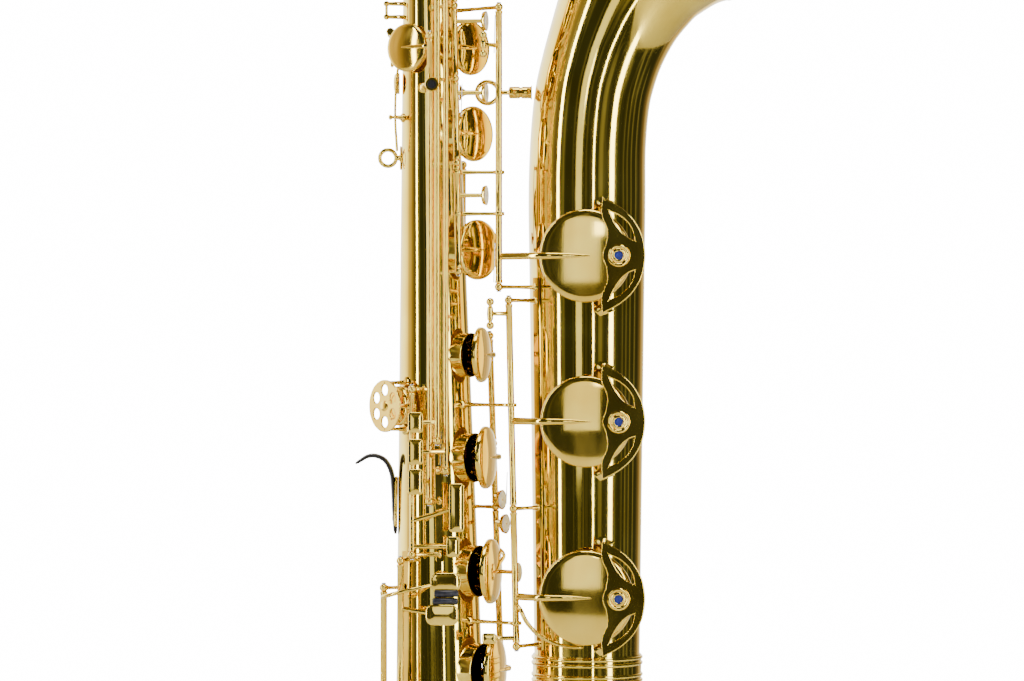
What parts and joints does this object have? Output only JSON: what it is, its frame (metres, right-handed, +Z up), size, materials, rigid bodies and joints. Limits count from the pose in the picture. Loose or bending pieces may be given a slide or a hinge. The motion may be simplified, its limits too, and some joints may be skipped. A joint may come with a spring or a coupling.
{
  "type": "baritone saxophone",
  "caption": "Low A baritone saxophone in lacquered brass: conical body, bow and bell, looped upper tube, neck and mouthpiece, hinged keys on ribs and rods, key guards and strap ring.",
  "frame": {"origin": "centre of the neck-strap ring on the back of the body tube", "axes": "+X from the body tube to the bell, -Y the player's right side, where the bell keys face, +Z up along the tubes"},
  "size_m": [0.3968, 0.1624, 1.1762],
  "materials": {
    "lacquered_brass": "polished gold lacquer",
    "steel": "ground steel rod",
    "cork": "sheet cork",
    "ebonite": "polished hard rubber",
    "cane": "cut cane",
    "black_plastic": "smooth black moulding",
    "leather": "waxed tan leather pads",
    "blue_felt": "pressed felt bumper",
    "pearl": "mother-of-pearl look",
    "roller": "dark polished rollers"
  },
  "bodies": {
    "instrument": {"bell": "lacquered_brass", "bell_bow_ferrule": "lacquered_brass", "bell_brace": "lacquered_brass", "bell_key_rib": "lacquered_brass", "bell_rod_bracket": "lacquered_brass", "bell_rod_high": "steel", "bell_rod_low": "steel", "body_bow_ferrule": "lacquered_brass", "body_tube": "lacquered_brass", "bow": "lacquered_brass", "bow_foot": "lacquered_brass", "g_sharp_rib": "lacquered_brass", "left_stack_rod": "steel", "ligature": "lacquered_brass", "loop_brace": "lacquered_brass", "low_a_guard": "lacquered_brass", "low_b_flat_guard": "lacquered_brass", "low_b_guard": "lacquered_brass", "lower_stack_rib": "lacquered_brass", "main_rib": "lacquered_brass", "mouthpiece": "ebonite", "neck": "lacquered_brass", "neck_cork": "cork", "neck_receiver": "lacquered_brass", "octave_bracket": "lacquered_brass", "octave_saddle": "lacquered_brass", "palm_rib": "lacquered_brass", "pigtail_loop": "lacquered_brass", "pinky_rib": "lacquered_brass", "reed": "cane", "right_stack_rod": "steel", "strap_ring": "lacquered_brass", "thumb_hook": "black_plastic", "thumb_rest": "black_plastic", "trill_guard": "lacquered_brass", "water_key_saddle": "lacquered_brass"},
    "a_key": {"a_key": "lacquered_brass"},
    "b_key": {"b_key": "lacquered_brass"},
    "c_key": {"c_key": "lacquered_brass"},
    "d_key": {"d_key": "lacquered_brass"},
    "e_flat_key": {"e_flat_key": "lacquered_brass"},
    "e_key": {"e_key": "lacquered_brass"},
    "f_key": {"f_key": "lacquered_brass"},
    "f_sharp_key": {"f_sharp_key": "lacquered_brass"},
    "g_key": {"g_key": "lacquered_brass"},
    "g_sharp_key": {"g_sharp_key": "lacquered_brass"},
    "high_e_key": {"high_e_key": "lacquered_brass"},
    "low_a_key": {"low_a_key": "lacquered_brass"},
    "low_b_flat_key": {"low_b_flat_key": "lacquered_brass"},
    "low_b_key": {"low_b_key": "lacquered_brass"},
    "low_c_key": {"low_c_key": "lacquered_brass"},
    "neck_octave_key": {"neck_octave_key": "lacquered_brass"},
    "palm_d_key": {"palm_d_key": "lacquered_brass"},
    "palm_e_flat_key": {"palm_e_flat_key": "lacquered_brass"},
    "palm_f_key": {"palm_f_key": "lacquered_brass"},
    "side_b_flat_key": {"side_b_flat_key": "lacquered_brass"},
    "side_c_key": {"side_c_key": "lacquered_brass"},
    "thumb_octave_lever": {"thumb_octave_lever": "lacquered_brass"},
    "trill_f_sharp_key": {"trill_f_sharp_key": "lacquered_brass"},
    "water_key": {"water_key": "lacquered_brass"}
  },
  "joints": [
    {"name": "a_key_pivot", "type": "hinge", "parent": "instrument", "child": "a_key", "pos_m": [0.05744, -0.04368, 0.019], "axis": [-0.0176, 0.007, 0.9998], "range_deg": [0, 13], "stiffness_Nm_per_rad": 0.15, "springref_deg": -20.05},
    {"name": "b_key_pivot", "type": "hinge", "parent": "instrument", "child": "b_key", "pos_m": [0.05619, -0.04318, 0.09], "axis": [-0.0176, 0.007, 0.9998], "range_deg": [0, 13], "stiffness_Nm_per_rad": 0.15, "springref_deg": -20.05},
    {"name": "c_key_pivot", "type": "hinge", "parent": "instrument", "child": "c_key", "pos_m": [0.05513, -0.04275, 0.15], "axis": [-0.0176, 0.007, 0.9998], "range_deg": [0, 13], "stiffness_Nm_per_rad": 0.15, "springref_deg": -20.05},
    {"name": "d_key_pivot", "type": "hinge", "parent": "instrument", "child": "d_key", "pos_m": [0.09402, 0.01276, -0.425], "axis": [0.034, 0.017, -0.9993], "range_deg": [0, 12], "stiffness_Nm_per_rad": 0.15, "springref_deg": -20.05},
    {"name": "e_flat_key_pivot", "type": "hinge", "parent": "instrument", "child": "e_flat_key", "pos_m": [-0.0025, -0.03107, -0.5], "axis": [0, 0.0207, 0.9998], "range_deg": [0, 9], "stiffness_Nm_per_rad": 0.15, "springref_deg": -20.05},
    {"name": "e_key_pivot", "type": "hinge", "parent": "instrument", "child": "e_key", "pos_m": [0.09062, 0.01106, -0.325], "axis": [0.034, 0.017, -0.9993], "range_deg": [0, 12], "stiffness_Nm_per_rad": 0.15, "springref_deg": -20.05},
    {"name": "f_key_pivot", "type": "hinge", "parent": "instrument", "child": "f_key", "pos_m": [0.08804, 0.00977, -0.249], "axis": [0.034, 0.017, -0.9993], "range_deg": [0, 12], "stiffness_Nm_per_rad": 0.15, "springref_deg": -20.05},
    {"name": "f_sharp_key_pivot", "type": "hinge", "parent": "instrument", "child": "f_sharp_key", "pos_m": [0.08515, 0.00832, -0.164], "axis": [0.034, 0.017, -0.9993], "range_deg": [0, 12], "stiffness_Nm_per_rad": 0.15, "springref_deg": -20.05},
    {"name": "g_key_pivot", "type": "hinge", "parent": "instrument", "child": "g_key", "pos_m": [0.05913, -0.04435, -0.077], "axis": [-0.0176, 0.007, 0.9998], "range_deg": [0, 13], "stiffness_Nm_per_rad": 0.15, "springref_deg": -20.05},
    {"name": "g_sharp_key_pivot", "type": "hinge", "parent": "instrument", "child": "g_sharp_key", "pos_m": [0.062, 0.035, -0.04], "axis": [0, 0.0499, -0.9988], "range_deg": [0, 10], "stiffness_Nm_per_rad": 0.15, "springref_deg": -20.05},
    {"name": "high_e_key_pivot", "type": "hinge", "parent": "instrument", "child": "high_e_key", "pos_m": [0.0423, -0.05506, 0.205], "axis": [0, 0.0044, 1], "range_deg": [0, 8], "stiffness_Nm_per_rad": 0.15, "springref_deg": -20.05},
    {"name": "low_a_key_pivot", "type": "hinge", "parent": "instrument", "child": "low_a_key", "pos_m": [0.0925, -0.045, -0.083], "axis": [0, 0, 1], "range_deg": [0, 9], "stiffness_Nm_per_rad": 0.15, "springref_deg": -20.05},
    {"name": "low_b_flat_key_pivot", "type": "hinge", "parent": "instrument", "child": "low_b_flat_key", "pos_m": [0.10283, -0.045, -0.218], "axis": [-0.0222, 0, 0.9998], "range_deg": [0, 9], "stiffness_Nm_per_rad": 0.15, "springref_deg": -20.05},
    {"name": "low_b_key_pivot", "type": "hinge", "parent": "instrument", "child": "low_b_key", "pos_m": [0.10602, -0.045, -0.362], "axis": [-0.0222, 0, 0.9998], "range_deg": [0, 9], "stiffness_Nm_per_rad": 0.15, "springref_deg": -20.05},
    {"name": "low_c_key_pivot", "type": "hinge", "parent": "instrument", "child": "low_c_key", "pos_m": [0.0117, -0.04422, -0.503], "axis": [0, 0.0186, 0.9998], "range_deg": [0, 9], "stiffness_Nm_per_rad": 0.15, "springref_deg": -20.05},
    {"name": "neck_octave_key_pivot", "type": "hinge", "parent": "instrument", "child": "neck_octave_key", "pos_m": [0.015, 0.034, 0.4634], "axis": [0, -1, 0], "range_deg": [0, 8], "stiffness_Nm_per_rad": 0.15, "springref_deg": -20.05},
    {"name": "palm_d_key_pivot", "type": "hinge", "parent": "instrument", "child": "palm_d_key", "pos_m": [0.00561, 0.02025, 0.195], "axis": [-0.0058, -0.0232, 0.9997], "range_deg": [0, 10], "stiffness_Nm_per_rad": 0.15, "springref_deg": -20.05},
    {"name": "palm_e_flat_key_pivot", "type": "hinge", "parent": "instrument", "child": "palm_e_flat_key", "pos_m": [0.00534, 0.01914, 0.243], "axis": [-0.0058, -0.0232, 0.9997], "range_deg": [0, 10], "stiffness_Nm_per_rad": 0.15, "springref_deg": -20.05},
    {"name": "palm_f_key_pivot", "type": "hinge", "parent": "instrument", "child": "palm_f_key", "pos_m": [0.00506, 0.01805, 0.29], "axis": [-0.0058, -0.0232, 0.9997], "range_deg": [0, 10], "stiffness_Nm_per_rad": 0.15, "springref_deg": -20.05},
    {"name": "side_b_flat_key_pivot", "type": "hinge", "parent": "instrument", "child": "side_b_flat_key", "pos_m": [0.0358, -0.04305, 0.09], "axis": [0, 0.0052, 1], "range_deg": [0, 10], "stiffness_Nm_per_rad": 0.15, "springref_deg": -20.05},
    {"name": "side_c_key_pivot", "type": "hinge", "parent": "instrument", "child": "side_c_key", "pos_m": [0.049, -0.04603, 0.16], "axis": [0, 0.0023, 1], "range_deg": [0, 8], "stiffness_Nm_per_rad": 0.15, "springref_deg": -20.05},
    {"name": "thumb_octave_lever_pivot", "type": "hinge", "parent": "instrument", "child": "thumb_octave_lever", "pos_m": [0.0025, 0, 0.104], "axis": [0, 1, 0], "range_deg": [0, 8], "stiffness_Nm_per_rad": 0.15, "springref_deg": -20.05},
    {"name": "trill_f_sharp_key_pivot", "type": "hinge", "parent": "instrument", "child": "trill_f_sharp_key", "pos_m": [0.0213, -0.04231, -0.206], "axis": [0, 0.0221, 0.9998], "range_deg": [0, 10], "stiffness_Nm_per_rad": 0.15, "springref_deg": -20.05},
    {"name": "water_key_pivot", "type": "hinge", "parent": "instrument", "child": "water_key", "pos_m": [0.10845, 0.03336, 0.21], "axis": [0.727, -0.6866, 0], "range_deg": [0, 20], "stiffness_Nm_per_rad": 0.15, "springref_deg": -20.05}
  ],
  "couplings": [
    {"joint": "f_sharp_key_pivot", "follows": "f_key_pivot", "ratio": 1},
    {"joint": "c_key_pivot", "follows": "b_key_pivot", "ratio": 1},
    {"joint": "neck_octave_key_pivot", "follows": "thumb_octave_lever_pivot", "ratio": 1}
  ]
}
